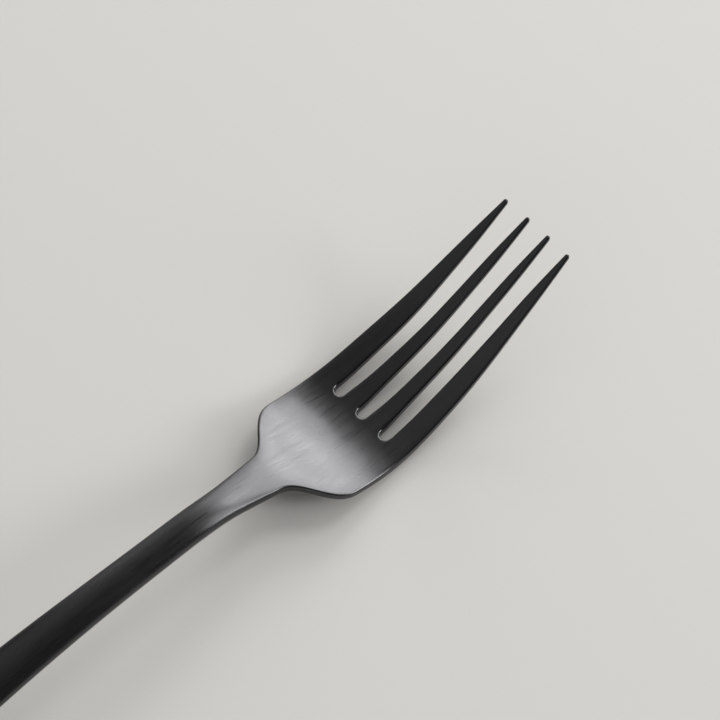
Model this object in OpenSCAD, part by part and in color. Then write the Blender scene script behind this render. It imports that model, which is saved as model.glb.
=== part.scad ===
// Four-tined dinner fork in dark satin steel, lying face up on the back of its head and its handle end.
// X runs from the handle end to the tine tips, Y across the fork, Z up from the table, in millimetres.
// The bar is one smooth form, cut across into named sections that meet face to face.

/* [Fork] */
// Whole length, from the handle end to the tips of the inner tines
fork_len = 205; // [185:1:225]
// Widest width of the head, just in front of the shoulders
head_w = 26; // [23:0.5:30]
// Length of the inner tines, from the roots of the slots to the tips
tine_len = 47.5; // [42:0.5:54]

/* [Handle and neck] */
// Width that the handle widens to at its end
handle_w = 13; // [9:0.5:16]
// Length over which the handle end rounds off
end_round = 7; // [5:0.5:9]
// Width of the slim stretch where the handle runs into the neck
slim_w = 7.1; // [5.5:0.1:8]
// Narrowest width of the neck
neck_w = 6.8; // [5:0.1:7]
// Distance of the narrowest point behind the slot roots
neck_back = 34.5; // [30:0.5:40]
// Width of the neck where it turns out into the head
flare_w = 9.2; // [8:0.1:10]
// Distance of that turn behind the slot roots
flare_back = 21.7; // [20:0.1:24]
// Distance of the shoulders behind the slot roots
shoulder_back = 15.2; // [13.5:0.1:17]

/* [Side profile] */
// Height of the handle's arch over the lowest point of the upper face
arch_h = 13.2; // [10:0.1:16]
// Distance of the arch behind the slot roots
arch_back = 90; // [75:1:100]
// Height of the bend at the neck over the lowest point of the upper face
neck_h = 11.5; // [9:0.1:14]
// Distance of the neck's bend behind the slot roots
bend_back = 39; // [35:0.5:44]
// Height at the turn into the head over the lowest point of the upper face
flare_h = 6.4; // [5:0.1:8]
// Height of the tips over the lowest point of the upper face
tip_h = 19.5; // [15:0.5:24]
// Rise of the head's edges over its middle
dish_h = 0.85; // [0.4:0.05:1.5]

/* [Thickness] */
// Thickness of the handle at its end
end_t = 2.4; // [2:0.1:3]
// Thickness of the neck and of the slim stretch behind it
neck_t = 4; // [3:0.1:4.6]
// Thickness of the head
head_t = 2.1; // [1.8:0.1:2.6]
// Thickness of the tines at their tips
tip_t = 1.3; // [1:0.1:1.8]

/* [Tines] */
// Width of the slots at their roots
slot_w = 2.5; // [2:0.1:3]
// Distance between the middles of two slots at their roots
slot_pitch = 6.65; // [6:0.05:7.2]
// Distance between neighbouring tips
tip_pitch = 5.7; // [5:0.1:6.5]
// Width of each tip
tip_w = 0.9; // [0.7:0.1:1.4]
// How far the inner tips stand in front of the outer ones
tip_step = 0.4; // [0:0.1:1]

/* [Hidden] */
$fn = 48;

// Depth of the flats that the fork rests on
rest_cut = 0.15;
// Radius of the edges on the head and tines, and on the handle. Along the neck it goes from one to the other.
edge_r = 0.4;
handle_edge_r = 1.6;
// Overrun of the cuts
over = 1;
// How far the upper face stands up in its middle, on the slim stretch and at the handle's end
crown_h = 1.2;
end_crown_h = 0.4;
// The last stretch of the handle, which lies almost level, and its rise
foot_len = 14;
foot_rise = 0.5;
// Half lengths over which the bends in the side profile are rounded
foot_round = 8;
arch_round = 40;
neck_round = 8;
flare_round = 7;
belly_round = 15;
tine_round = 9;
// Half lengths over which the bends in the outline are rounded
slim_round = 20;
waist_round = 4;
turn_round = 2.8;
shoulder_round = 3.8;
// Distance behind the slot roots of the belly's bend, and how far that bend lies under the face
belly_back = 2.1;
belly_dip = 1.9;
// Distance in front of the slot roots of the tines' bend, and its height
tine_bend = 21.4;
tine_bend_h = 5.15;
// Length of the slots' parallel roots, where the head ends and the tines start
root_len = 2.5;
// Distance behind the slot roots of the cut between the handle and the neck, where the bar is slim
handle_cut = 60;
// Distance of the cut between the neck and the head behind the turn into the head
head_cut = 2;

// Bends of the outline in front of the shoulders: place as a share of the tine length,
// half width as a share of the greatest half width, rounding as a share of the tine length
side_shares = [[-0.06, 1.005, 0.15], [0.3, 0.945, 0.24], [0.84, 0.758, 0.1]];
// Half width of the shoulders' bend, as a share of the greatest half width
shoulder_share = 0.985;
// Width of the tines along their length, as shares from the tip's width, 0, to the root's, 1
inner_taper_shares = [[0, 1, 0], [0.1, 0.79, 0.1], [0.8, 0.35, 0.12], [1, 0, 0]];
outer_taper_shares = [[0, 1, 0], [0.37, 0.87, 0.2], [0.8, 0.37, 0.12], [1, 0, 0]];
// Line of the inner tines' middles, from the root, 0, to the tip, 1
inner_line_shares = [[0, 0, 0], [0.6, 0.88, 0.3], [1, 1, 0]];
// How blunt the handle end and the tips are left, as shares of a full round
end_blunt_share = 0.985;
tip_blunt_share = 0.95;
// Largest part of a width or a thickness that one rounded edge may take
edge_share = 0.4;

// Places along the fork
tip_x = fork_len / 2;
root_x = tip_x - tine_len;
end_x = -fork_len / 2;
cut_x = root_x + root_len;
head_x = root_x - flare_back - head_cut;
palm_x = root_x - shoulder_back + shoulder_round;
neck_x = root_x - handle_cut;

// Ramp that turns from level to a slope of 1 over a half length h, with an even change of bend
function ramp(t, h) =
    h <= 0 ? max(t, 0)
    : t <= -h ? 0
    : t >= h ? t
    : let (u = (t + h) / (2 * h)) 2 * h * (pow(u, 3) - pow(u, 4) / 2);

// Slope of a line of corners after its corner i
function slope(c, i) = (c[i + 1][1] - c[i][1]) / (c[i + 1][0] - c[i][0]);

// Sum of a list
function total(v, i = 0) = i >= len(v) ? 0 : v[i] + total(v, i + 1);

// Value at x of a line of corners [place, value, rounding], with its corners rounded
function soft(c, x) =
    c[0][1] + slope(c, 0) * (x - c[0][0])
    + total([for (i = [1 : len(c) - 2]) (slope(c, i) - slope(c, i - 1)) * ramp(x - c[i][0], c[i][2])]);

// Side profile of the upper face's middle in front of the handle, over its own lowest point
front_profile = [
    [root_x - arch_back, arch_h, arch_round],
    [root_x - bend_back, neck_h, neck_round],
    [root_x - flare_back, flare_h, flare_round],
    [root_x - belly_back, -belly_dip, belly_round],
    [root_x + tine_bend, tine_bend_h, tine_round],
    [tip_x, tip_h, 0]];
low_z = min([for (i = [0 : 40]) soft(front_profile, root_x + (i / 20 - 1) * belly_round)]);
lift_z = head_t - rest_cut - low_z;
foot_z = end_t - rest_cut - lift_z;
profile = concat(
    [[end_x, foot_z, 0], [end_x + foot_len, foot_z + foot_rise, foot_round]],
    front_profile);
function top_z(x) = soft(profile, x) + lift_z;

// Outline: half width of the fork
outline = concat(
    [[end_x, handle_w / 2, 0],
     [root_x - handle_cut, slim_w / 2, slim_round],
     [root_x - neck_back, neck_w / 2, waist_round],
     [root_x - flare_back, flare_w / 2, turn_round],
     [root_x - shoulder_back, shoulder_share * head_w / 2, shoulder_round]],
    [for (s = side_shares) [root_x + s[0] * tine_len, s[1] * head_w / 2, s[2] * tine_len]],
    [[tip_x, 1.5 * tip_pitch + tip_w / 2, 0]]);
function end_share(x) =
    x > end_x + end_round ? 1
    : sqrt(1 - pow((1 - (x - end_x) / end_round) * end_blunt_share, 2));
function half_w(x) = soft(outline, x) * end_share(x);

// Thickness, edge radius and rise of the edges over the middle
thickness = [[end_x, end_t, 0],
    [root_x - handle_cut, neck_t, slim_round],
    [root_x - bend_back, neck_t, neck_round],
    [root_x - flare_back, head_t, turn_round],
    [cut_x, head_t, root_len],
    [tip_x, tip_t, 0]];
function thick(x) = soft(thickness, x);
edges = [[end_x, handle_edge_r, 0],
    [root_x - bend_back, handle_edge_r, neck_round],
    [root_x - flare_back, edge_r, turn_round],
    [tip_x, edge_r, 0]];
rises = [[end_x, -end_crown_h, 0],
    [root_x - handle_cut, -crown_h, slim_round],
    [root_x - bend_back, -crown_h, neck_round],
    [root_x - flare_back, 0, turn_round],
    [root_x, dish_h, belly_round],
    [tip_x, dish_h, 0]];
function rise(x) = soft(rises, x);

// Heights of the upper and the under face
function face_z(x, y) = top_z(x) + rise(x) * pow(y / soft(outline, x), 2);
function under_z(x, y, t) = top_z(x) + max(rise(x), 0) * pow(y / soft(outline, x), 2) - t;

// How far a crowned upper face leans out where the round of its edge starts
function lean(x, y, r) = atan(2 * max(-rise(x), 0) * (y - r / 2) / pow(soft(outline, x), 2));

// Round from angle a0 to a1, about the middle (y, z) at the place x
corner_steps = 3;
function corner(x, y, z, r, a0, a1) =
    [for (i = [0 : corner_steps]) let (a = a0 + (a1 - a0) * i / corner_steps) [x, y + r * sin(a), z + r * cos(a)]];

// Section across the bar at x between the sides y0 and y1, with n spans over each face.
// A shrink under 1 draws it in around its own middle.
function section(x, y0, y1, n, shrink = 1) =
    let (
        mid = (y0 + y1) / 2,
        a = mid + (y0 - mid) * shrink,
        b = mid + (y1 - mid) * shrink,
        t = thick(x) * shrink,
        drop = thick(x) * (1 - shrink) / 2,
        r = min(soft(edges, x), edge_share * (b - a), edge_share * t),
        ya = a + r,
        yb = b - r,
        lean_a = lean(x, -a, r),
        lean_b = lean(x, b, r),
        top_a = ya - r * sin(lean_a),
        top_b = yb + r * sin(lean_b)
    )
    concat(
        [for (i = [1 : n - 1]) let (y = top_a + (top_b - top_a) * i / n) [x, y, face_z(x, y) - drop]],
        corner(x, yb, face_z(x, top_b) - drop - r * cos(lean_b), r, lean_b, 90),
        corner(x, yb, under_z(x, yb, t) - drop + r, r, 90, 180),
        [for (i = [1 : n - 1]) let (y = yb + (ya - yb) * i / n) [x, y, under_z(x, y, t) - drop]],
        corner(x, ya, under_z(x, ya, t) - drop + r, r, 180, 270),
        corner(x, ya, face_z(x, top_a) - drop - r * cos(lean_a), r, 270, 360 - lean_a));

// Closed solid through a row of sections
module skin(sections) {
    n = len(sections[0]);
    last = len(sections) - 1;
    points = [for (s = sections) each s];
    sides = [for (j = [0 : last - 1]) for (i = [0 : n - 1])
        let (k = (i + 1) % n, p = j * n, q = (j + 1) * n)
        each [[p + i, p + k, q + k], [p + i, q + k, q + i]]];
    first_end = [for (i = [n - 1 : -1 : 0]) i];
    last_end = [for (i = [0 : n - 1]) last * n + i];
    polyhedron(points = points, faces = concat(sides, [first_end, last_end]), convexity = 4);
}

// Even places from a to b, and a list without its first place
function places(a, b, n) = [for (i = [0 : n]) a + (b - a) * i / n];
function after(v) = [for (i = [1 : len(v) - 1]) v[i]];

// Everything under the table, taken away for the flats that the fork rests on
module under_table() {
    translate([-fork_len, -head_w, -head_w])
        cube([2 * fork_len, 2 * head_w, head_w]);
}

// Stretch of the full bar through the given places
module bar(xs, n) {
    difference() {
        skin([for (x = xs) section(x, -half_w(x), half_w(x), n)]);
        under_table();
    }
}

// Upright prism of one slot, with its round root
module slot(y) {
    r = slot_w / 2;
    translate([root_x + r, y, -over])
        linear_extrude(head_t + flare_h + over) {
            circle(r = r);
            translate([0, -r])
                square([root_len + over, slot_w]);
        }
}

// Share of the way along a tine
function along(x, end) = (x - cut_x) / (end - cut_x);

// Sides of the inner and of the outer tines at x
function inner_middle(x) =
    slot_pitch / 2 + (tip_pitch - slot_pitch) / 2 * soft(inner_line_shares, along(x, tip_x));
function inner_width(x) =
    tip_w + (slot_pitch - slot_w - tip_w) * soft(inner_taper_shares, along(x, tip_x));
function outer_root_w() = half_w(cut_x) - slot_pitch - slot_w / 2;
function outer_width(x) =
    tip_w + (outer_root_w() - tip_w) * soft(outer_taper_shares, along(x, tip_x - tip_step));
function inner_sides(x) = [inner_middle(x) - inner_width(x) / 2, inner_middle(x) + inner_width(x) / 2];
function outer_sides(x) = [half_w(x) - outer_width(x), half_w(x)];

// One tine to the left, whose sides come from a function, up to its tip at the place end
tine_spans = 20;
tip_steps = 4;
face_spans = 3;
module tine(sides, end) {
    tip_r = tip_w / 2;
    shaft = [for (x = places(cut_x, end - tip_r, tine_spans)) [x, 1]];
    tip = [for (i = [1 : tip_steps]) [end - tip_r + tip_r * i / tip_steps,
        sqrt(1 - pow(tip_blunt_share * i / tip_steps, 2))]];
    difference() {
        skin([for (p = concat(shaft, tip)) section(p[0], sides(p[0])[0], sides(p[0])[1], face_spans, p[1])]);
        under_table();
    }
}

module handle() {
    color("#3b3b3b")
        bar(concat([for (a = [0 : 15 : 75]) end_x + end_round * (1 - cos(a))],
            places(end_x + end_round, neck_x, 24)), 8);
}

module neck() {
    color("#6b6b6b")
        bar(places(neck_x, head_x, 16), 8);
}

module head() {
    color("#a8a9aa")
        difference() {
            bar(concat(places(head_x, palm_x, 14), after(places(palm_x, cut_x, 10))), 16);
            for (i = [-1 : 1])
                slot(i * slot_pitch);
        }
}

module tine_outer_left() {
    color("#4a4a49")
        tine(function (x) outer_sides(x), tip_x - tip_step);
}

module tine_inner_left() {
    color("#4a4a49")
        tine(function (x) inner_sides(x), tip_x);
}

module tine_inner_right() {
    color("#4a4a49")
        mirror([0, 1, 0])
            tine(function (x) inner_sides(x), tip_x);
}

module tine_outer_right() {
    color("#4a4a49")
        mirror([0, 1, 0])
            tine(function (x) outer_sides(x), tip_x - tip_step);
}

handle();
neck();
head();
tine_outer_left();
tine_inner_left();
tine_inner_right();
tine_outer_right();
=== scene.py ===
import math

import bpy
from bpy.props import FloatProperty, FloatVectorProperty, PointerProperty
from mathutils import Matrix, Vector


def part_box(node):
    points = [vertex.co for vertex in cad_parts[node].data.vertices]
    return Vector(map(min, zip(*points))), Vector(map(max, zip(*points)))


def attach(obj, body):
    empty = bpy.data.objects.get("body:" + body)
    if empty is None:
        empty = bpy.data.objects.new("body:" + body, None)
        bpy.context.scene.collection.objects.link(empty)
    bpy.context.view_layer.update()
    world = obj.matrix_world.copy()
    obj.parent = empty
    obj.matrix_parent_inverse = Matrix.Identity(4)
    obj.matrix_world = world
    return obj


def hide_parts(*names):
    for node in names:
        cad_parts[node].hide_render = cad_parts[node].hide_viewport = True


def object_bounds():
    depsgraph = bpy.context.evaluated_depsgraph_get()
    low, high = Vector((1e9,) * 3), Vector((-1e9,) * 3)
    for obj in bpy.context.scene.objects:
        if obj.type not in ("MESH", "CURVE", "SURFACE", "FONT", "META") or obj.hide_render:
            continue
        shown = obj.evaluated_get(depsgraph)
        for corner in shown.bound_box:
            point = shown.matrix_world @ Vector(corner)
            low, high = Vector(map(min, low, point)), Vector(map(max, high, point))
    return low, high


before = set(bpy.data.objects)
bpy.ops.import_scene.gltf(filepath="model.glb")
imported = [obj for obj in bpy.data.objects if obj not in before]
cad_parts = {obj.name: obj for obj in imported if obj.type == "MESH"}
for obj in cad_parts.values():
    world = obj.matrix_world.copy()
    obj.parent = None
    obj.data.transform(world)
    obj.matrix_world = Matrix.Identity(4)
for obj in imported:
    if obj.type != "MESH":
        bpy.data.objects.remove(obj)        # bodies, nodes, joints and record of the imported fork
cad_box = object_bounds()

bl_info = {
    "name": "Dinner fork",
    "version": (1, 0, 0),
    "blender": (4, 5, 0),
    "location": "3D View > Sidebar > Fork",
    "description": "Cuts, presses and brushes a four-tined dinner fork in dark satin steel",
    "category": "Add Mesh",
}

MM = 0.001

# Places along the fork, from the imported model: its ends and the cuts between its sections
END_X = cad_box[0].x
TIP_X = cad_box[1].x
NECK_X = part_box("neck")[0].x
HEAD_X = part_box("head")[0].x
CUT_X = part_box("head")[1].x


def linear(hex_colour):
    """Turns an sRGB hex colour into linear red, green and blue."""
    def channel(text):
        value = int(text, 16) / 255
        return value / 12.92 if value <= 0.04045 else ((value + 0.055) / 1.055) ** 2.4
    return [channel(hex_colour[i:i + 2]) for i in (0, 2, 4)]


def ramp(t, h):
    """Turns from level to a slope of 1 over a half length h, with an even change of bend."""
    if t <= -h:
        return 0.0
    if t >= h:
        return t
    u = (t + h) / (2 * h)
    return 2 * h * (u ** 3 - u ** 4 / 2)


def soft(corners, x):
    """Value at x of a line of corners (place, value, rounding), with its corners rounded."""
    slopes = [(b[1] - a[1]) / (b[0] - a[0]) for a, b in zip(corners, corners[1:])]
    value = corners[0][1] + slopes[0] * (x - corners[0][0])
    for corner, before, after in zip(corners[1:-1], slopes, slopes[1:]):
        value += (after - before) * ramp(x - corner[0], corner[2])
    return value


def smooth_step(t):
    """Goes from 0 to 1 as t does, level at both ends."""
    t = min(max(t, 0), 1)
    return t * t * (3 - 2 * t)


class ForkSizes(bpy.types.PropertyGroup):
    """Sizes that the fork's maker would change."""
    tine_len: FloatProperty(
        name="Tine length", description="Inner tines, from the slot roots to the tips",
        default=47.5 * MM, unit="LENGTH")
    head_w: FloatProperty(
        name="Head width", description="Widest width of the head, in front of the shoulders",
        default=26 * MM, unit="LENGTH")
    handle_w: FloatProperty(
        name="Handle width", description="Width that the handle widens to at its end",
        default=13 * MM, unit="LENGTH")
    slim_w: FloatProperty(
        name="Slim width", description="Width where the handle runs into the neck",
        default=7.1 * MM, unit="LENGTH")
    neck_w: FloatProperty(
        name="Neck width", description="Narrowest width of the neck",
        default=6.8 * MM, unit="LENGTH")
    arch_h: FloatProperty(
        name="Arch height", description="Handle's arch over the lowest point of the upper face",
        default=13.2 * MM, unit="LENGTH")
    neck_h: FloatProperty(
        name="Neck height", description="Neck's bend over the lowest point of the upper face",
        default=11.5 * MM, unit="LENGTH")
    tip_h: FloatProperty(
        name="Tip height", description="Tips over the lowest point of the upper face",
        default=19.5 * MM, unit="LENGTH")
    dish_h: FloatProperty(
        name="Dish", description="Rise of the head's edges over its middle",
        default=0.85 * MM, unit="LENGTH")
    slot_w: FloatProperty(
        name="Slot width", description="Width of the slots at their roots",
        default=2.5 * MM, unit="LENGTH")
    slot_pitch: FloatProperty(
        name="Slot pitch", description="Between the middles of two slots at their roots",
        default=6.65 * MM, unit="LENGTH")
    tip_pitch: FloatProperty(
        name="Tip pitch", description="Between neighbouring tips",
        default=5.7 * MM, unit="LENGTH")
    tip_w: FloatProperty(
        name="Tip width", description="Width of each tip",
        default=0.9 * MM, unit="LENGTH")


class ForkForm:
    """Outline, side profile and thickness of the fork, as its drawing gives them."""
    # Lengths along the fork, in metres. Those that end in back start at the slot roots and go back.
    neck_back = 34.5 * MM
    flare_back = 21.7 * MM
    shoulder_back = 15.2 * MM
    arch_back = 90 * MM
    bend_back = 39 * MM
    belly_back = 2.1 * MM
    tine_bend = 21.4 * MM
    end_round = 7 * MM
    foot_len = 14 * MM
    tip_step = 0.4 * MM
    # Half lengths over which the bends of the outline and of the profile are rounded
    slim_round = 20 * MM
    waist_round = 4 * MM
    turn_round = 2.8 * MM
    shoulder_round = 3.8 * MM
    foot_round = 8 * MM
    arch_round = 40 * MM
    neck_round = 8 * MM
    flare_round = 7 * MM
    belly_round = 15 * MM
    tine_round = 9 * MM
    root_round = 1 * MM
    # Heights, widths and thicknesses
    flare_w = 9.2 * MM
    flare_h = 6.4 * MM
    foot_rise = 0.5 * MM
    belly_dip = 1.9 * MM
    tine_bend_h = 5.15 * MM
    crown_h = 1.2 * MM
    end_crown_h = 0.4 * MM
    end_t = 2.4 * MM
    neck_t = 4 * MM
    head_t = 2.1 * MM
    tip_t = 1.3 * MM
    edge_r = 0.4 * MM
    handle_edge_r = 1.6 * MM
    rest_cut = 0.15 * MM
    # Shares of half the head's width: at the shoulders, and at the outline's bends in front of
    # them, with each bend's place and rounding as shares of a tine's length
    shoulder_share = 0.985
    side_shares = ((-0.06, 1.005, 0.15), (0.3, 0.945, 0.24), (0.84, 0.758, 0.1))
    # Corners along a tine, with places and roundings as shares of its length: how its width goes
    # from the root's to the tip's, and how its middle goes from the root's place to the tip's
    inner_taper_shares = ((0, 1, 0), (0.1, 0.79, 0.1), (0.8, 0.35, 0.12), (1, 0, 0))
    outer_taper_shares = ((0, 1, 0), (0.37, 0.87, 0.2), (0.8, 0.37, 0.12), (1, 0, 0))
    inner_line_shares = ((0, 0, 0), (0.6, 0.88, 0.3), (1, 1, 0))
    # A rounded edge takes no more than this share of the width and of the thickness
    edge_share = 0.4
    # Steps in which the lowest place of the belly is looked for, and in which slopes are measured
    low_steps = 40
    slope_step = 0.05 * MM
    # The brush rolls the face off towards its border: how far in, and how deep at the border.
    # Both double at the shoulders, over a reach along the fork.
    roll_w = 2 * MM
    roll_h = 0.14 * MM
    roll_reach = 9 * MM

    def __init__(self, sizes):
        self.sizes = sizes
        self.root_x = root = TIP_X - sizes.tine_len
        half, tine = sizes.head_w / 2, sizes.tine_len
        front = [
            (root - self.arch_back, sizes.arch_h, self.arch_round),
            (root - self.bend_back, sizes.neck_h, self.neck_round),
            (root - self.flare_back, self.flare_h, self.flare_round),
            (root - self.belly_back, -self.belly_dip, self.belly_round),
            (root + self.tine_bend, self.tine_bend_h, self.tine_round),
            (TIP_X, sizes.tip_h, 0)]
        belly = [root + (2 * i / self.low_steps - 1) * self.belly_round
                 for i in range(self.low_steps + 1)]
        self.lift = self.head_t - self.rest_cut - min(soft(front, x) for x in belly)
        foot = self.end_t - self.rest_cut - self.lift
        self.profile = [
            (END_X, foot, 0), (END_X + self.foot_len, foot + self.foot_rise, self.foot_round), *front]
        # The outer tips lie one and a half pitches from the middle
        tips_w = 1.5 * sizes.tip_pitch + sizes.tip_w / 2
        self.outline = [
            (END_X, sizes.handle_w / 2, 0),
            (NECK_X, sizes.slim_w / 2, self.slim_round),
            (root - self.neck_back, sizes.neck_w / 2, self.waist_round),
            (root - self.flare_back, self.flare_w / 2, self.turn_round),
            (root - self.shoulder_back, self.shoulder_share * half, self.shoulder_round),
            *[(root + place * tine, width * half, rounding * tine)
              for place, width, rounding in self.side_shares],
            (TIP_X, tips_w, 0)]
        self.thickness = [
            (END_X, self.end_t, 0),
            (NECK_X, self.neck_t, self.slim_round),
            (root - self.bend_back, self.neck_t, self.neck_round),
            (root - self.flare_back, self.head_t, self.turn_round),
            (CUT_X, self.head_t, CUT_X - root),
            (TIP_X, self.tip_t, 0)]
        self.edges = [
            (END_X, self.handle_edge_r, 0),
            (root - self.bend_back, self.handle_edge_r, self.neck_round),
            (root - self.flare_back, self.edge_r, self.turn_round),
            (TIP_X, self.edge_r, 0)]
        # How far the face's sides lie over its middle, or under it where the face is crowned
        self.rises = [
            (END_X, -self.end_crown_h, 0),
            (NECK_X, -self.crown_h, self.slim_round),
            (root - self.bend_back, -self.crown_h, self.neck_round),
            (root - self.flare_back, 0, self.turn_round),
            (root, sizes.dish_h, self.belly_round),
            (TIP_X, sizes.dish_h, 0)]

    def half_w(self, x):
        """Half the width of the whole outline at x."""
        return soft(self.outline, x)

    def slant(self, x):
        """Length of the outline at x for each metre along the fork."""
        growth = self.half_w(x + self.slope_step) - self.half_w(x - self.slope_step)
        return math.hypot(1, growth / (2 * self.slope_step))

    def thick(self, x):
        """Thickness of the steel at x."""
        return soft(self.thickness, x)

    def edge(self, x, width):
        """Radius of the rounded edges at x, on a bar or tine of that width."""
        return min(soft(self.edges, x), self.edge_share * width, self.edge_share * self.thick(x))

    def border(self, x, y):
        """Distance from a place to the fork's own border, seen from above."""
        side = (self.half_w(x) - abs(y)) / self.slant(x)
        round_x = END_X + self.end_round
        if x >= round_x:
            return side
        disc = math.hypot((round_x - x) / self.end_round, y / self.half_w(x))
        return min(side, (1 - disc) * self.end_round)

    def upper_z(self, x, y):
        """Height of the upper face, with its border rolled off."""
        level = soft(self.profile, x) + self.lift + soft(self.rises, x) * (y / self.half_w(x)) ** 2
        shoulder_x = self.root_x - self.shoulder_back
        broad = 1 + smooth_step(1 - abs(x - shoulder_x) / self.roll_reach)
        near_border = max(1 - self.border(x, y) / (self.roll_w * broad), 0)
        return level - self.roll_h * broad * near_border ** 2

    def lean(self, flat, out, radius):
        """How far a crowned upper face leans out where the round of its edge starts."""
        reach = radius / 2
        fall = self.upper_z(*flat) - self.upper_z(*(flat + out * reach))
        return math.atan(max(fall, 0) / reach)

    def under_z(self, x, y):
        """Height of the under face, which follows the dish but not the handle's crown."""
        dish = max(soft(self.rises, x), 0) * (y / self.half_w(x)) ** 2
        return soft(self.profile, x) + self.lift + dish - self.thick(x)

    def tine_end(self, outer):
        """Place of an outer or an inner tine's tip."""
        return TIP_X - self.tip_step if outer else TIP_X

    def tine_sides(self, x, outer):
        """Both sides of a left tine at x."""
        sizes, end = self.sizes, self.tine_end(outer)
        along = ramp(x - CUT_X, self.root_round) / (end - CUT_X)
        if outer:
            root_w = self.half_w(CUT_X) - sizes.slot_pitch - sizes.slot_w / 2
            width = sizes.tip_w + (root_w - sizes.tip_w) * soft(self.outer_taper_shares, along)
            return self.half_w(x) - width, self.half_w(x)
        root_w = sizes.slot_pitch - sizes.slot_w
        width = sizes.tip_w + (root_w - sizes.tip_w) * soft(self.inner_taper_shares, along)
        line = soft(self.inner_line_shares, along)
        middle = (sizes.slot_pitch + (sizes.tip_pitch - sizes.slot_pitch) * line) / 2
        return middle - width / 2, middle + width / 2


class ForkBlank:
    """Where each corner of the flat blank lies once it is cut out and pressed.

    The blank is a grid with rows across the fork and columns along it: one strip of columns
    for each tine and each slot. Its rim is rounded in steps from the under face, ring 0, up."""
    strips = 7
    strip_columns = 8
    columns = strips * strip_columns
    edge_steps = 4
    rings = 2 * edge_steps + 1
    # Rows over the handle's round end, and over each stretch of the bar and of the tines
    end_rows = 14
    handle_rows = 84
    neck_rows = 52
    palm_rows = 46
    fan_rows = 14
    root_rows = 3
    tine_rows = 66
    # Length behind the slot roots over which the columns fan out from the slots to even steps
    fan_len = 6 * MM
    # Rounds of drawing the tips back until they end where they should
    tip_tries = 6

    def __init__(self, form):
        self.form = form
        self.arc_x = form.root_x + form.sizes.slot_w / 2
        fan_x = self.arc_x - self.fan_len
        stretches = (
            (END_X + form.end_round, NECK_X, self.handle_rows), (NECK_X, HEAD_X, self.neck_rows),
            (HEAD_X, fan_x, self.palm_rows), (fan_x, self.arc_x, self.fan_rows),
            (self.arc_x, CUT_X, self.root_rows))
        self.bar_rows = [END_X + form.end_round]
        for start, stop, count in stretches:
            self.bar_rows += [start + (stop - start) * (i + 1) / count for i in range(count)]
        self.arc_row = self.end_rows + len(self.bar_rows) - 1 - self.root_rows
        self.cut_row = self.arc_row + self.root_rows
        self.rows = self.cut_row + self.tine_rows

    def row_of(self, place):
        """Row of a place on the unpressed sheet, which is 1 m square."""
        return (place.x + 0.5) * self.rows

    def column_of(self, place):
        """Column of a place on the unpressed sheet."""
        return (place.y + 0.5) * self.columns

    def strip_of(self, column):
        """The strip that a column belongs to, and its step across that strip."""
        strip, step = divmod(column, self.strip_columns)
        return (strip, step) if strip < self.strips else (strip - 1, self.strip_columns)

    def last_x(self, outer):
        """Where a tine's tip starts to turn round."""
        end = last = self.form.tine_end(outer)
        for _ in range(self.tip_tries):
            near, far = self.form.tine_sides(last, outer)
            last = end - (far - near) / 2
        return last

    def inset(self, x):
        """Half the width of the flat face at x, inside the rounded edge."""
        form = self.form
        return form.half_w(x) - form.edge(x, 2 * form.half_w(x)) * form.slant(x)

    def end_place(self, row, column):
        """Place on the handle's round end, where the square grid is drawn into half a disc."""
        form = self.form
        u = 2 * column / self.columns - 1
        v = 1 - row / self.end_rows
        radius = form.edge(END_X, form.sizes.handle_w)
        x = END_X + form.end_round - (form.end_round - radius) * v * math.sqrt(1 - u * u / 2)
        return x, self.inset(x) * u * math.sqrt(1 - v * v / 2)

    def bar_place(self, row, column):
        """Place on the handle, neck or head. Near the slots the columns are drawn round their roots."""
        form, sizes = self.form, self.form.sizes
        x = self.bar_rows[row - self.end_rows]
        even = self.inset(x) * (2 * column / self.columns - 1)
        fan = smooth_step((x - self.arc_x + self.fan_len) / self.fan_len)
        if fan == 0:
            return x, even
        strip, step = self.strip_of(column)
        reach = sizes.slot_w / 2 + form.edge(x, 2 * sizes.head_w)
        if strip % 2:
            middle = ((strip - 1) / 2 - 1) * sizes.slot_pitch
            turn = math.pi * (step / self.strip_columns - 0.5)
            round_y = middle + reach * math.sin(turn)
            return x - reach * math.cos(turn) * fan ** 2, even + (round_y - even) * fan
        edges = [-self.inset(x)]
        for slot in (-1, 0, 1):
            edges += [slot * sizes.slot_pitch - reach, slot * sizes.slot_pitch + reach]
        edges.append(self.inset(x))
        start, stop = edges[strip], edges[strip + 1]
        strip_y = start + (stop - start) * step / self.strip_columns
        return x, even + (strip_y - even) * fan

    def tine_place(self, row, column):
        """Place on a tine. The last row of each goes round its tip."""
        form = self.form
        strip, step = self.strip_of(column)
        # The column where a slot starts is the last one of the tine before it
        if strip % 2:
            strip, step = strip - 1, self.strip_columns
        outer = strip in (0, self.strips - 1)
        last = self.last_x(outer)
        if row <= self.cut_row:
            x = self.bar_rows[row - self.end_rows]
        else:
            x = CUT_X + (last - CUT_X) * (row - self.cut_row) / self.tine_rows
        near, far = form.tine_sides(x, outer)
        radius = form.edge(x, far - near)
        if strip < self.strips / 2:
            near, far = -far, -near
        near, far = near + radius, far - radius
        if row < self.rows:
            return x, near + (far - near) * step / self.strip_columns
        reach = (far - near) / 2
        turn = math.pi * (step / self.strip_columns - 0.5)
        return x + reach * math.cos(turn), (near + far) / 2 + reach * math.sin(turn)

    def flat_place(self, row, column):
        """Where a corner of the grid lies seen from above."""
        if row < self.end_rows:
            return self.end_place(row, column)
        if row <= self.arc_row:
            return self.bar_place(row, column)
        return self.tine_place(row, column)

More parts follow.
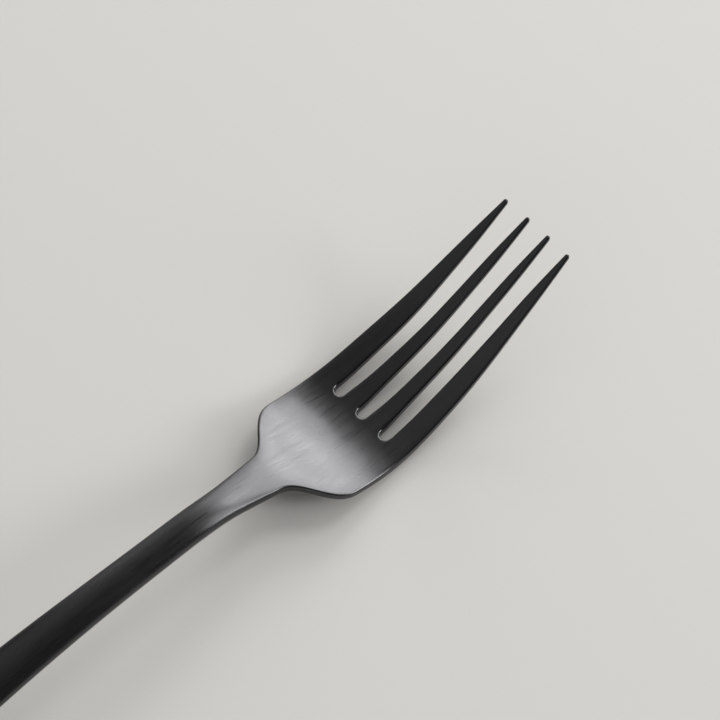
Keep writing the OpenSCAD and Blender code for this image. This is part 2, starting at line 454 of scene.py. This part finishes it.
    def local_edge(self, row, x, column):
        """Radius of the rounded edge at a corner of the rim."""
        form = self.form
        if row <= self.end_rows:
            return form.edge(END_X, form.sizes.handle_w)
        if row <= self.arc_row:
            return form.edge(x, 2 * form.half_w(x))
        outer = min(column, self.columns - column) <= self.strip_columns
        near, far = form.tine_sides(min(x, self.last_x(outer)), outer)
        return form.edge(x, far - near)


def select_only(item):
    """Leaves just this object selected and makes it active."""
    bpy.ops.object.select_all(action="DESELECT")
    item.select_set(True)
    bpy.context.view_layer.objects.active = item


def choose(mesh, elements, test):
    """Selects the mesh's faces or edges that pass a test, and nothing else. Runs in object mode."""
    for group in (mesh.vertices, mesh.edges, mesh.polygons):
        group.foreach_set("select", [False] * len(group))
    elements.foreach_set("select", [bool(test(item)) for item in elements])


class FORK_OT_blank(bpy.types.Operator):
    """Cut the flat blank with its slots, round its rim and press it to the fork's form"""
    bl_idname = "fork.blank"
    bl_label = "Press the blank"

    def execute(self, context):
        blank = ForkBlank(ForkForm(context.scene.fork_sizes))
        sheet = self.punch(context, blank)
        mesh = sheet.data
        rim, around = self.press(mesh, blank)
        select_only(sheet)
        bpy.ops.object.shade_smooth()
        mesh.attributes.new("edge", "FLOAT", "POINT").data.foreach_set("value", rim)
        mesh.attributes.new("around", "FLOAT", "POINT").data.foreach_set("value", around)
        normals = [number for normal in mesh.vertex_normals for number in normal.vector]
        mesh.attributes.new("surface", "FLOAT_VECTOR", "POINT").data.foreach_set("vector", normals)
        sheet.hide_render = True
        return {"FINISHED"}

    @staticmethod
    def punch(context, blank):
        """Makes a sheet 1 m square and 1 m thick, with the slots punched out and the rim stepped."""
        bpy.ops.object.select_all(action="DESELECT")
        bpy.ops.mesh.primitive_grid_add(x_subdivisions=blank.rows, y_subdivisions=blank.columns, size=1)
        sheet = context.object
        sheet.name = "fork_blank"
        mesh = sheet.data

        def in_slot(face):
            strip = int(blank.column_of(face.center) // blank.strip_columns)
            return strip % 2 and blank.row_of(face.center) > blank.arc_row

        choose(mesh, mesh.polygons, in_slot)
        bpy.ops.object.mode_set(mode="EDIT")
        bpy.ops.mesh.select_mode(type="FACE")
        bpy.ops.mesh.delete(type="FACE")
        bpy.ops.mesh.select_all(action="SELECT")
        bpy.ops.mesh.extrude_region_move(TRANSFORM_OT_translate={"value": (0, 0, 1)})
        bpy.ops.mesh.select_mode(type="EDGE")
        bpy.ops.object.mode_set(mode="OBJECT")
        # The rim's upright edges are the ones that go from 0 to 1 in height
        choose(mesh, mesh.edges, lambda edge: sum(mesh.vertices[i].co.z for i in edge.vertices) == 1)
        bpy.ops.object.mode_set(mode="EDIT")
        bpy.ops.mesh.subdivide(number_cuts=blank.rings - 1)
        bpy.ops.mesh.select_all(action="SELECT")
        bpy.ops.mesh.normals_make_consistent(inside=False)
        bpy.ops.object.mode_set(mode="OBJECT")
        return sheet

    def press(self, mesh, blank):
        """Moves each corner of the sheet to its place on the fork.

        Returns two lists: how far each corner lies round the rim, from 0 on the faces to 1 in the
        middle of the side, and its way from the middle line, measured round the side."""
        form = blank.form
        corners = [(round(blank.row_of(v.co)), round(blank.column_of(v.co)), round(v.co.z * blank.rings))
                   for v in mesh.vertices]
        places = {(row, column): Vector(blank.flat_place(row, column)) for row, column, _ in corners}
        outward = self.rim_directions(mesh, corners, places)
        rim, around = [], []
        for vert, (row, column, ring) in zip(mesh.vertices, corners):
            flat = places[row, column]
            upper = ring > blank.edge_steps
            face_z = form.upper_z if upper else form.under_z
            steps = blank.rings - ring if upper else ring
            out = outward.get((row, column))
            z = face_z(*flat)
            if out is not None:
                radius = blank.local_edge(row, flat.x, column)
                lean = form.lean(flat, out, radius) if upper else 0
                turn = lean + (math.pi / 2 - lean) * steps / blank.edge_steps
                drop = radius * (math.cos(lean) - math.cos(turn))
                z = face_z(*(flat + out * radius * math.sin(lean))) - (drop if upper else -drop)
                flat = flat + out * radius * math.sin(turn)
            vert.co = (flat.x, flat.y, max(z, 0))
            rim.append(steps / blank.edge_steps if out is not None else 0.0)
            side = 0 if out is None else math.copysign(1, out.y)
            around.append(flat.y + side * (form.upper_z(*flat) - z))
        mesh.update()
        return rim, around

    @staticmethod
    def rim_directions(mesh, corners, places):
        """Outward direction, seen from above, at each corner of the rim."""
        near = {}
        for edge in mesh.edges:
            a, b = edge.vertices
            if corners[a][2] == corners[b][2] == 1:
                near.setdefault(a, []).append(b)
                near.setdefault(b, []).append(a)
        outward = {}
        for index, (before, after) in near.items():
            here = places[corners[index][:2]]
            back = here - places[corners[before][:2]]
            on = places[corners[after][:2]] - here
            line = (back / back.length_squared + on / on.length_squared).normalized()
            out = Vector((line.y, -line.x))
            grid_out = mesh.vertex_normals[index].vector.xy
            outward[corners[index][:2]] = out if out.dot(grid_out) > 0 else -out
        return outward


def add_node(tree, kind, settings=None, links=None, **choices):
    """Adds a node with its choices, the values of its sockets and its links."""
    node = tree.nodes.new(kind)
    for name, value in choices.items():
        setattr(node, name, value)
    for socket, value in (settings or {}).items():
        node.inputs[socket].default_value = value
    for socket, source in (links or {}).items():
        tree.links.new(source, node.inputs[socket])
    return node


class ForkFinish(bpy.types.PropertyGroup):
    """Finish of the steel."""
    steel: FloatVectorProperty(
        name="Steel", description="Colour of the dark coating over the stainless steel",
        subtype="COLOR", size=3, default=linear("4f4f50"), min=0, max=1)
    roughness: FloatProperty(
        name="Roughness", description="Roughness of the satin brushing", default=0.33, min=0, max=1)
    line_pitch: FloatProperty(
        name="Brush lines", description="Distance between the lines that the brush leaves",
        default=0.25 * MM, unit="LENGTH")
    line_len: FloatProperty(
        name="Brush stroke", description="Length of one brush line", default=18 * MM, unit="LENGTH")
    wave_len: FloatProperty(
        name="Waves", description="Distance between the waves that the polishing wheel leaves",
        default=8 * MM, unit="LENGTH")


class BrushMarks:
    """Marks that the brush, the polishing wheel and the tumbling barrel leave on the steel."""
    # Nearly all of a noise's values lie between the first two. The third is how strongly its
    # finer marks show.
    noise_low = 0.35
    noise_high = 0.65
    noise_roughness = 0.6
    # Broad lines lie among the fine ones: how much broader they are, and their share
    broad_width = 6
    broad_share = 0.4
    # Short strokes cross the lines both ways: how much broader they are than the lines, how many
    # of them make a line's length, how far they are turned in degrees, and their share
    cross_width = 1.4
    cross_parts = 3
    cross_turns = (7, -6)
    cross_share = 0.45
    # How far the marks shift the steel's roughness and its brightness, up and down
    rough_shift = 0.085
    tint_shift = 0.12
    # Heights of the waves and of the lines, and how much of the lines' height is felt
    wave_h = 0.07 * MM
    line_h = 0.02 * MM
    line_strength = 0.15
    # Roughness of the tumbled edges
    edge_roughness = 0.16
    # How far the lines stretch a highlight across them
    anisotropy = 0.9


def satin_steel(finish):
    """Stainless steel, coated dark in vacuum, brushed along its length and tumbled at its edges.

    The brush lines spread a light across the fork and keep it narrow along it. Real lines lie
    closer than 0.1 mm, too fine to show, so they are drawn coarser."""
    found = bpy.data.materials.get("dark_satin_steel")
    if found:
        return found
    marks = BrushMarks
    material = bpy.data.materials.new("dark_satin_steel")
    material.use_nodes = True
    tree = material.node_tree
    tree.nodes.clear()
    uv = add_node(tree, "ShaderNodeUVMap", uv_map="brush")
    tangent = add_node(tree, "ShaderNodeTangent", direction_type="UV_MAP", uv_map="brush")
    edge = add_node(tree, "ShaderNodeAttribute", attribute_name="edge")

    def streaks(pitch, length, detail, turn=0):
        """Noise drawn out along the brush lines, or turned a little from them."""
        turned = add_node(tree, "ShaderNodeVectorRotate", {"Angle": math.radians(turn)},
                          {"Vector": uv.outputs["UV"]}, rotation_type="Z_AXIS")
        place = add_node(tree, "ShaderNodeMapping", {"Scale": (1 / pitch, 1 / length, 1)},
                         {"Vector": turned.outputs["Vector"]})
        noise = add_node(tree, "ShaderNodeTexNoise",
                         {"Scale": 1, "Detail": detail, "Roughness": marks.noise_roughness},
                         {"Vector": place.outputs["Vector"]}, noise_dimensions="2D")
        return noise.outputs["Fac"]

    pitch, length, wave = finish.line_pitch, finish.line_len, finish.wave_len
    lines = add_node(tree, "ShaderNodeMix", {"Factor": marks.broad_share},
                     {"A": streaks(pitch, length, detail=3),
                      "B": streaks(pitch * marks.broad_width, length, detail=2)})
    to_left, to_right = (
        streaks(pitch * marks.cross_width, length / marks.cross_parts, detail=3, turn=turn)
        for turn in marks.cross_turns)
    strokes = add_node(tree, "ShaderNodeMix", {"Factor": 0.5}, {"A": to_left, "B": to_right})
    brushing = add_node(tree, "ShaderNodeMix", {"Factor": marks.cross_share},
                        {"A": lines.outputs["Result"], "B": strokes.outputs["Result"]})
    height = brushing.outputs["Result"]
    spread = {"From Min": marks.noise_low, "From Max": marks.noise_high}
    rough = add_node(tree, "ShaderNodeMapRange",
                     {**spread, "To Min": finish.roughness - marks.rough_shift,
                      "To Max": finish.roughness + marks.rough_shift}, {"Value": height})
    tint = add_node(tree, "ShaderNodeMapRange",
                    {**spread, "To Min": 1 - marks.tint_shift, "To Max": 1 + marks.tint_shift},
                    {"Value": height})
    polished = add_node(tree, "ShaderNodeMix", {"B": marks.edge_roughness},
                        {"Factor": edge.outputs["Fac"], "A": rough.outputs["Result"]})
    colour = add_node(tree, "ShaderNodeVectorMath", {0: finish.steel[:]},
                      {"Scale": tint.outputs["Result"]}, operation="SCALE")
    wavy = add_node(tree, "ShaderNodeBump", {"Strength": 1, "Distance": marks.wave_h},
                    {"Height": streaks(wave, wave, detail=1)})
    bump = add_node(tree, "ShaderNodeBump", {"Strength": marks.line_strength, "Distance": marks.line_h},
                    {"Height": height, "Normal": wavy.outputs["Normal"]})
    steel = add_node(tree, "ShaderNodeBsdfPrincipled", {"Metallic": 1, "Anisotropic": marks.anisotropy},
                     {"Base Color": colour.outputs["Vector"], "Roughness": polished.outputs["Result"],
                      "Normal": bump.outputs["Normal"], "Tangent": tangent.outputs["Tangent"]})
    add_node(tree, "ShaderNodeOutputMaterial", links={"Surface": steel.outputs["BSDF"]})
    return material


def cut_section(context, name, keep):
    """Copies the blank, keeps the faces that pass a test of their place and closes the cuts."""
    source = bpy.data.objects["fork_blank"]
    select_only(source)
    bpy.ops.object.duplicate()
    piece = context.object
    piece.name = piece.data.name = name
    piece.hide_render = False
    mesh = piece.data
    choose(mesh, mesh.polygons, lambda face: not keep(face.center))
    bpy.ops.object.mode_set(mode="EDIT")
    bpy.ops.mesh.select_mode(type="FACE")
    bpy.ops.mesh.delete(type="FACE")
    bpy.ops.object.mode_set(mode="OBJECT")
    skin_faces = len(mesh.polygons)
    bpy.ops.object.mode_set(mode="EDIT")
    bpy.ops.mesh.select_all(action="SELECT")
    bpy.ops.mesh.fill_holes(sides=0)
    bpy.ops.object.mode_set(mode="OBJECT")

    # Brush lines run along the fork and round its sides
    brush = mesh.uv_layers.new(name="brush")
    around = mesh.attributes["around"].data
    brush.data.foreach_set("uv", [
        number for loop in mesh.loops
        for number in (around[loop.vertex_index].value, mesh.vertices[loop.vertex_index].co.x)])
    # The skin keeps the whole blank's normals, so no seam shows, and the cuts are flat
    surface = mesh.attributes["surface"].data
    normals = []
    for face in mesh.polygons:
        for corner in face.vertices:
            normals.append(surface[corner].vector[:] if face.index < skin_faces else face.normal[:])
    mesh.normals_split_custom_set(normals)
    for spent in ("surface", "around"):
        mesh.attributes.remove(mesh.attributes[spent])
    mesh.materials.append(satin_steel(context.scene.fork_finish))
    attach(piece, "root")
    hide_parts(name)
    piece.name = name + "_pressed"


class FORK_OT_handle(bpy.types.Operator):
    """Make the handle, from its round end to the slim part"""
    bl_idname = "fork.handle"
    bl_label = "Handle"

    def execute(self, context):
        cut_section(context, "handle", lambda place: place.x < NECK_X)
        return {"FINISHED"}


class FORK_OT_neck(bpy.types.Operator):
    """Make the neck, bent down towards the head"""
    bl_idname = "fork.neck"
    bl_label = "Neck"

    def execute(self, context):
        cut_section(context, "neck", lambda place: NECK_X < place.x < HEAD_X)
        return {"FINISHED"}


class FORK_OT_head(bpy.types.Operator):
    """Make the head with its shoulders and the round roots of its slots"""
    bl_idname = "fork.head"
    bl_label = "Head"

    def execute(self, context):
        cut_section(context, "head", lambda place: HEAD_X < place.x < CUT_X)
        return {"FINISHED"}


class FORK_OT_tines(bpy.types.Operator):
    """Make the four tines"""
    bl_idname = "fork.tines"
    bl_label = "Tines"

    def execute(self, context):
        sizes = context.scene.fork_sizes
        between = (sizes.slot_pitch + sizes.tip_pitch) / 2
        spans = {
            "tine_outer_left": (between, sizes.head_w), "tine_inner_left": (0, between),
            "tine_inner_right": (-between, 0), "tine_outer_right": (-sizes.head_w, -between)}
        for name, (low, high) in spans.items():
            cut_section(context, name, lambda place: place.x > CUT_X and low < place.y < high)
        return {"FINISHED"}


class ForkStage(bpy.types.PropertyGroup):
    """Floor, lights and camera."""
    floor: FloatVectorProperty(
        name="Floor", description="Colour of the plain floor",
        subtype="COLOR", size=3, default=linear("d6d4d0"), min=0, max=1)
    room: FloatProperty(
        name="Room", description="Brightness of the room all round", default=0.11, min=0)
    panels: FloatProperty(
        name="Panels", description="Brightness of all the soft panels, over their own levels",
        default=1, min=0)
    lens: FloatProperty(
        name="Lens", description="Focal length on a sensor 36 mm wide, in millimetres", default=115.5)


class FORK_OT_stage(bpy.types.Operator):
    """Set up the pale floor, the soft light and the camera"""
    bl_idname = "fork.stage"
    bl_label = "Stage"
    # Camera: its place and its sensor's width in millimetres, and its angles in degrees
    camera_place = (-83.6, -159.38, 402.89)
    sensor_w = 36
    camera_elevation = 60.83
    camera_azimuth = -41.12
    camera_roll = -0.78
    # What lies nearer to the camera than this isn't drawn
    camera_near = 10 * MM
    # Soft panels round the head: azimuth, elevation, width and height in degrees, and brightness
    panels = {
        "window": (30, 22, 20, 16, 12.4),
        "high_window": (10, 40, 20, 20, 8.6),
        "side_window": (50, 18, 20, 24, 3.8),
        "pale_wall": (70, 22, 20, 16, 1.7),
        "wall_top": (40, 40, 40, 20, 1.4),
        "middle_panel": (-30, 40, 60, 20, 2.7),
        "near_window": (-50, 22, 20, 16, 14),
        "left_panel": (110, 50, 80, 40, 0.36),
        "back_panel": (200, 25, 75, 40, 0.8)}
    # How far off the panels hang and how long the floor's sides are, in metres
    panel_distance = 2
    floor_size = 6
    # Grain of the floor's paint, a little over 1 mm: real grain is finer, too fine to show
    grain = MM / 0.9

    def execute(self, context):
        stage = context.scene.fork_stage
        self.add_floor(context, stage)
        self.add_lights(context, stage)
        self.add_camera(context, stage)
        context.scene.view_settings.view_transform = "Standard"
        return {"FINISHED"}

    def add_floor(self, context, stage):
        """Lays a plain floor in matt pale paint, whose fine grain breaks up its faint sheen."""
        bpy.ops.object.select_all(action="DESELECT")
        bpy.ops.mesh.primitive_plane_add(size=self.floor_size)
        floor = context.object
        floor.name = "floor"
        material = bpy.data.materials.new("matt_pale_paint")
        material.use_nodes = True
        tree = material.node_tree
        tree.nodes.clear()
        place = add_node(tree, "ShaderNodeTexCoord")
        grain = add_node(tree, "ShaderNodeTexNoise", {"Scale": 1 / self.grain, "Detail": 2},
                         {"Vector": place.outputs["Object"]})
        bump = add_node(tree, "ShaderNodeBump", {"Strength": 0.1, "Distance": 0.1 * MM},
                        {"Height": grain.outputs["Fac"]})
        paint = add_node(tree, "ShaderNodeBsdfPrincipled",
                         {"Base Color": (*stage.floor, 1), "Roughness": 0.8, "Specular IOR Level": 0.2},
                         {"Normal": bump.outputs["Normal"]})
        add_node(tree, "ShaderNodeOutputMaterial", links={"Surface": paint.outputs["BSDF"]})
        floor.data.materials.append(material)

    def add_lights(self, context, stage):
        """Lights the room and hangs the soft panels round the fork's head, facing it."""
        world = bpy.data.worlds.new("room")
        world.use_nodes = True
        background = world.node_tree.nodes["Background"]
        background.inputs["Color"].default_value = (1, 1, 1, 1)
        background.inputs["Strength"].default_value = stage.room
        context.scene.world = world
        head = Vector(((HEAD_X + CUT_X) / 2, 0, 0))
        for name, (azimuth, elevation, width, height, brightness) in self.panels.items():
            azimuth, elevation = math.radians(azimuth), math.radians(elevation)
            facing = Vector((math.cos(azimuth) * math.cos(elevation),
                             math.sin(azimuth) * math.cos(elevation), math.sin(elevation)))
            bpy.ops.object.light_add(type="AREA", location=head + facing * self.panel_distance)
            panel = context.object
            panel.name = name
            panel.rotation_euler = facing.to_track_quat("Z", "Y").to_euler()
            data = panel.data
            data.shape = "RECTANGLE"
            span = 2 * self.panel_distance
            data.size = span * math.tan(math.radians(width) / 2) * math.cos(elevation)
            data.size_y = span * math.tan(math.radians(height) / 2)
            # The power that gives a panel of this size its brightness
            data.energy = stage.panels * brightness * math.pi * data.size * data.size_y

    def add_camera(self, context, stage):
        """Sets the camera, which looks down on the fork from its right side."""
        elevation = math.radians(self.camera_elevation)
        azimuth = math.radians(self.camera_azimuth)
        roll = math.radians(self.camera_roll)
        level = Vector((math.cos(azimuth), math.sin(azimuth), 0))
        back = Vector((math.sin(azimuth) * math.cos(elevation),
                       -math.cos(azimuth) * math.cos(elevation), math.sin(elevation)))
        upright = back.cross(level)
        right = math.cos(roll) * level + math.sin(roll) * upright
        up = math.cos(roll) * upright - math.sin(roll) * level
        turn = Matrix((right, up, back)).transposed().to_4x4()
        bpy.ops.object.camera_add()
        camera = context.object
        camera.matrix_world = Matrix.Translation(Vector(self.camera_place) * MM) @ turn
        camera.data.lens = stage.lens
        camera.data.sensor_width = self.sensor_w
        camera.data.clip_start = self.camera_near
        context.scene.camera = camera


OPERATORS = (FORK_OT_blank, FORK_OT_handle, FORK_OT_neck, FORK_OT_head, FORK_OT_tines, FORK_OT_stage)


class FORK_PT_panel(bpy.types.Panel):
    """Lists the steps that make the fork"""
    bl_idname = "FORK_PT_panel"
    bl_label = "Dinner fork"
    bl_space_type = "VIEW_3D"
    bl_region_type = "UI"
    bl_category = "Fork"

    def draw(self, context):
        for step in OPERATORS:
            self.layout.operator(step.bl_idname)
        for group in (context.scene.fork_sizes, context.scene.fork_finish, context.scene.fork_stage):
            box = self.layout.box()
            for name in group.__annotations__:
                box.prop(group, name)


CLASSES = (ForkSizes, ForkFinish, ForkStage, *OPERATORS, FORK_PT_panel)


def register():
    for item in CLASSES:
        bpy.utils.register_class(item)
    bpy.types.Scene.fork_sizes = PointerProperty(type=ForkSizes)
    bpy.types.Scene.fork_finish = PointerProperty(type=ForkFinish)
    bpy.types.Scene.fork_stage = PointerProperty(type=ForkStage)


def unregister():
    del bpy.types.Scene.fork_stage
    del bpy.types.Scene.fork_finish
    del bpy.types.Scene.fork_sizes
    for item in reversed(CLASSES):
        bpy.utils.unregister_class(item)


def main():
    """Makes the whole fork and its stage."""
    register()
    bpy.ops.fork.blank()
    bpy.ops.fork.handle()
    bpy.ops.fork.neck()
    bpy.ops.fork.head()
    bpy.ops.fork.tines()
    bpy.ops.fork.stage()
    bpy.data.objects.remove(bpy.data.objects["fork_blank"])


if __name__ == "__main__":
    main()
